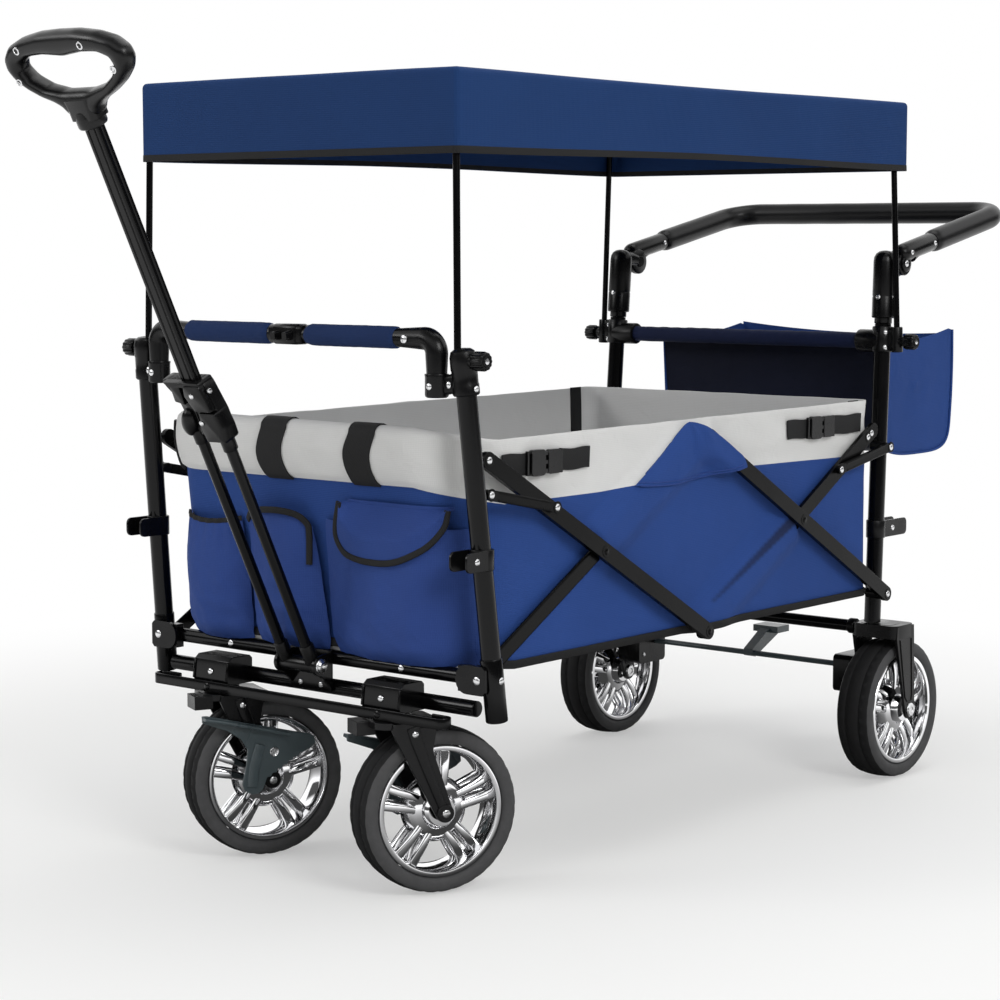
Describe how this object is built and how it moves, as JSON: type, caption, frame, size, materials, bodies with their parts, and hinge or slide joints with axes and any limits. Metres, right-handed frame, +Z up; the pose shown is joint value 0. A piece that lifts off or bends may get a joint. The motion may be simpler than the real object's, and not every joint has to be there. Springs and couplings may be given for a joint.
{
  "type": "folding wagon",
  "caption": "Folding cloth wagon with a canopy, swivel front wheels, a telescopic pull handle, a folding push handle and a rear bag.",
  "frame": {"origin": "middle of the footprint on the ground, between the pull grip's front and the push bar's back", "axes": "+Z up, -Y towards the pull handle, +Y towards the push handle, +X to the side whose bars show"},
  "size_m": [0.5946, 1.6688, 0.9997],
  "materials": {
    "tube": "satin black powder coat",
    "moulding": "fine-textured black",
    "pedal": "slate grey",
    "tyre": "matt",
    "foam": "matt foam",
    "pad": "matt blue foam",
    "rim": "bright",
    "side_cloth": "woven blue",
    "canopy_cloth": "woven blue",
    "bag_cloth": "woven navy"
  },
  "bodies": {
    "front_frame": {"front_upright_L": "tube", "front_upright_R": "tube", "front_upper_crossbar": "tube", "front_lower_crossbar": "tube", "handle_bracket": "tube", "front_bumper": "tube", "grab_bar": "tube", "grab_pad_L": "pad", "grab_pad_R": "pad", "clamp_front_L": "moulding", "clamp_front_R": "moulding", "canopy_hoop_front": "tube", "canopy_cloth": "canopy_cloth", "basket": "side_cloth", "front_pockets": "side_cloth"},
    "rear_frame": {"rear_upright_L": "tube", "rear_upright_R": "tube", "rear_axle_frame": "moulding", "clamp_rear_L": "moulding", "clamp_rear_R": "moulding", "canopy_hoop_rear": "tube", "bag_bar": "tube", "rear_bag": "bag_cloth", "push_joint_L": "moulding", "push_joint_R": "moulding"},
    "bar_front_rising_R": {"bar_front_rising_R": "tube"},
    "bar_front_falling_R": {"bar_front_falling_R": "tube"},
    "bar_rear_falling_R": {"bar_rear_falling_R": "tube"},
    "bar_rear_rising_R": {"bar_rear_rising_R": "tube"},
    "brace_front_R": {"brace_front_R": "tube"},
    "brace_rear_R": {"brace_rear_R": "tube"},
    "caster_fork_R": {"caster_fork_R": "moulding"},
    "brake_pedal_R": {"brake_pedal_R": "pedal"},
    "front_wheel_R": {"tyre_front_R": "tyre", "rim_front_R": "rim"},
    "rear_wheel_R": {"tyre_rear_R": "tyre", "rim_rear_R": "rim"},
    "knob_front_R": {"knob_front_R": "moulding"},
    "knob_rear_R": {"knob_rear_R": "moulding"},
    "bar_front_rising_L": {"bar_front_rising_L": "tube"},
    "bar_front_falling_L": {"bar_front_falling_L": "tube"},
    "bar_rear_falling_L": {"bar_rear_falling_L": "tube"},
    "bar_rear_rising_L": {"bar_rear_rising_L": "tube"},
    "brace_front_L": {"brace_front_L": "tube"},
    "brace_rear_L": {"brace_rear_L": "tube"},
    "caster_fork_L": {"caster_fork_L": "moulding"},
    "brake_pedal_L": {"brake_pedal_L": "pedal"},
    "front_wheel_L": {"tyre_front_L": "tyre", "rim_front_L": "rim"},
    "rear_wheel_L": {"tyre_rear_L": "tyre", "rim_rear_L": "rim"},
    "knob_front_L": {"knob_front_L": "moulding"},
    "knob_rear_L": {"knob_rear_L": "moulding"},
    "push_handle": {"push_bar": "tube", "push_grip": "foam"},
    "rear_brake": {"rear_brake_bar": "pedal"},
    "pull_lower": {"pull_yoke": "tube"},
    "pull_upper": {"pull_pole": "tube", "pull_grip": "moulding"}
  },
  "joints": [
    {"name": "fold", "type": "hinge", "parent": "front_frame", "child": "bar_front_rising_R", "pos_m": [0.2544, -0.42724, 0.27], "axis": [1, 0, 0], "range_deg": [0, 50], "deforming": ["basket", "canopy_cloth"]},
    {"name": "fold_cross_front_R", "type": "hinge", "parent": "bar_front_rising_R", "child": "bar_front_falling_R", "pos_m": [0.2619, -0.20674, 0.3955], "axis": [1, 0, 0], "range_deg": [-100, 0]},
    {"name": "fold_top_R", "type": "hinge", "parent": "bar_front_rising_R", "child": "bar_rear_falling_R", "pos_m": [0.2619, 0.01376, 0.521], "axis": [1, 0, 0], "range_deg": [-100, 0]},
    {"name": "fold_cross_rear_R", "type": "hinge", "parent": "bar_rear_falling_R", "child": "bar_rear_rising_R", "pos_m": [0.2619, 0.23426, 0.3955], "axis": [1, 0, 0], "range_deg": [0, 100]},
    {"name": "fold_brace_front_R", "type": "hinge", "parent": "front_frame", "child": "brace_front_R", "pos_m": [0.2694, -0.43067, 0.482], "axis": [1, 0, 0], "range_deg": [0, 87]},
    {"name": "fold_brace_rear_R", "type": "hinge", "parent": "rear_frame", "child": "brace_rear_R", "pos_m": [0.2619, 0.45892, 0.479], "axis": [1, 0, 0], "range_deg": [-91.5, 0]},
    {"name": "swivel_R", "type": "hinge", "parent": "front_frame", "child": "caster_fork_R", "pos_m": [0.143, -0.45374, 0.2222], "axis": [0, 0, 1], "continuous": true},
    {"name": "front_wheel_turn_R", "type": "hinge", "parent": "caster_fork_R", "child": "front_wheel_R", "pos_m": [0.16455, -0.40752, 0.1], "axis": [0.9063, -0.4226, 0], "continuous": true},
    {"name": "front_brake_R", "type": "hinge", "parent": "caster_fork_R", "child": "brake_pedal_R", "pos_m": [0.11414, -0.42263, 0.155], "axis": [0.9063, -0.4226, 0], "range_deg": [0, 10]},
    {"name": "rear_wheel_turn_R", "type": "hinge", "parent": "rear_frame", "child": "rear_wheel_R", "pos_m": [0.2508, 0.49036, 0.1], "axis": [1, 0, 0], "continuous": true},
    {"name": "knob_front_turn_R", "type": "hinge", "parent": "front_frame", "child": "knob_front_R", "pos_m": [0.2798, -0.46518, 0.636], "axis": [1, 0, 0], "range_deg": [-180, 180]},
    {"name": "knob_rear_turn_R", "type": "hinge", "parent": "rear_frame", "child": "knob_rear_R", "pos_m": [0.2745, 0.48271, 0.6275], "axis": [1, 0, 0], "range_deg": [-180, 180]},
    {"name": "fold_L", "type": "hinge", "parent": "front_frame", "child": "bar_front_rising_L", "pos_m": [-0.2544, -0.42724, 0.27], "axis": [1, 0, 0], "range_deg": [0, 50]},
    {"name": "fold_cross_front_L", "type": "hinge", "parent": "bar_front_rising_L", "child": "bar_front_falling_L", "pos_m": [-0.2619, -0.20674, 0.3955], "axis": [1, 0, 0], "range_deg": [-100, 0]},
    {"name": "fold_top_L", "type": "hinge", "parent": "bar_front_rising_L", "child": "bar_rear_falling_L", "pos_m": [-0.2619, 0.01376, 0.521], "axis": [1, 0, 0], "range_deg": [-100, 0]},
    {"name": "fold_cross_rear_L", "type": "hinge", "parent": "bar_rear_falling_L", "child": "bar_rear_rising_L", "pos_m": [-0.2619, 0.23426, 0.3955], "axis": [1, 0, 0], "range_deg": [0, 100]},
    {"name": "fold_brace_front_L", "type": "hinge", "parent": "front_frame", "child": "brace_front_L", "pos_m": [-0.2694, -0.43067, 0.482], "axis": [1, 0, 0], "range_deg": [0, 87]},
    {"name": "fold_brace_rear_L", "type": "hinge", "parent": "rear_frame", "child": "brace_rear_L", "pos_m": [-0.2619, 0.45892, 0.479], "axis": [1, 0, 0], "range_deg": [-91.5, 0]},
    {"name": "swivel_L", "type": "hinge", "parent": "front_frame", "child": "caster_fork_L", "pos_m": [-0.143, -0.45374, 0.2222], "axis": [0, 0, 1], "continuous": true},
    {"name": "front_wheel_turn_L", "type": "hinge", "parent": "caster_fork_L", "child": "front_wheel_L", "pos_m": [-0.12145, -0.40752, 0.1], "axis": [0.9063, -0.4226, 0], "continuous": true},
    {"name": "front_brake_L", "type": "hinge", "parent": "caster_fork_L", "child": "brake_pedal_L", "pos_m": [-0.10062, -0.45585, 0.155], "axis": [0.9063, -0.4226, 0], "range_deg": [0, 10]},
    {"name": "rear_wheel_turn_L", "type": "hinge", "parent": "rear_frame", "child": "rear_wheel_L", "pos_m": [-0.2508, 0.49036, 0.1], "axis": [1, 0, 0], "continuous": true},
    {"name": "knob_front_turn_L", "type": "hinge", "parent": "front_frame", "child": "knob_front_L", "pos_m": [-0.2798, -0.46518, 0.636], "axis": [-1, 0, 0], "range_deg": [-180, 180]},
    {"name": "knob_rear_turn_L", "type": "hinge", "parent": "rear_frame", "child": "knob_rear_L", "pos_m": [-0.2745, 0.48271, 0.6275], "axis": [-1, 0, 0], "range_deg": [-180, 180]},
    {"name": "fold_rear_frame", "type": "hinge", "parent": "bar_rear_falling_R", "child": "rear_frame", "pos_m": [0.2619, 0.45476, 0.27], "axis": [1, 0, 0], "range_deg": [0, 50]},
    {"name": "push_fold", "type": "hinge", "parent": "rear_frame", "child": "push_handle", "pos_m": [0, 0.52776, 0.737], "axis": [1, 0, 0], "range_deg": [-40, 72]},
    {"name": "rear_brake_press", "type": "hinge", "parent": "rear_frame", "child": "rear_brake", "pos_m": [0, 0.50676, 0.15], "axis": [1, 0, 0], "range_deg": [-12, 0]},
    {"name": "pull_tilt", "type": "hinge", "parent": "front_frame", "child": "pull_lower", "pos_m": [0, -0.46124, 0.262], "axis": [1, 0, 0], "range_deg": [-19, 60]},
    {"name": "pull_slide", "type": "slide", "parent": "pull_lower", "child": "pull_upper", "axis": [0, -0.4431, 0.8965], "range_m": [-0.27, 0]}
  ],
  "couplings": [
    {"joint": "fold_cross_front_R", "follows": "fold", "ratio": -2},
    {"joint": "fold_top_R", "follows": "fold", "ratio": -2},
    {"joint": "fold_cross_rear_R", "follows": "fold", "ratio": 2},
    {"joint": "fold_brace_front_R", "follows": "fold", "ratio": 1.74},
    {"joint": "fold_brace_rear_R", "follows": "fold", "ratio": -1.83},
    {"joint": "fold_L", "follows": "fold", "ratio": 1},
    {"joint": "fold_cross_front_L", "follows": "fold", "ratio": -2},
    {"joint": "fold_top_L", "follows": "fold", "ratio": -2},
    {"joint": "fold_cross_rear_L", "follows": "fold", "ratio": 2},
    {"joint": "fold_brace_front_L", "follows": "fold", "ratio": 1.74},
    {"joint": "fold_brace_rear_L", "follows": "fold", "ratio": -1.83},
    {"joint": "fold_rear_frame", "follows": "fold", "ratio": 1}
  ]
}
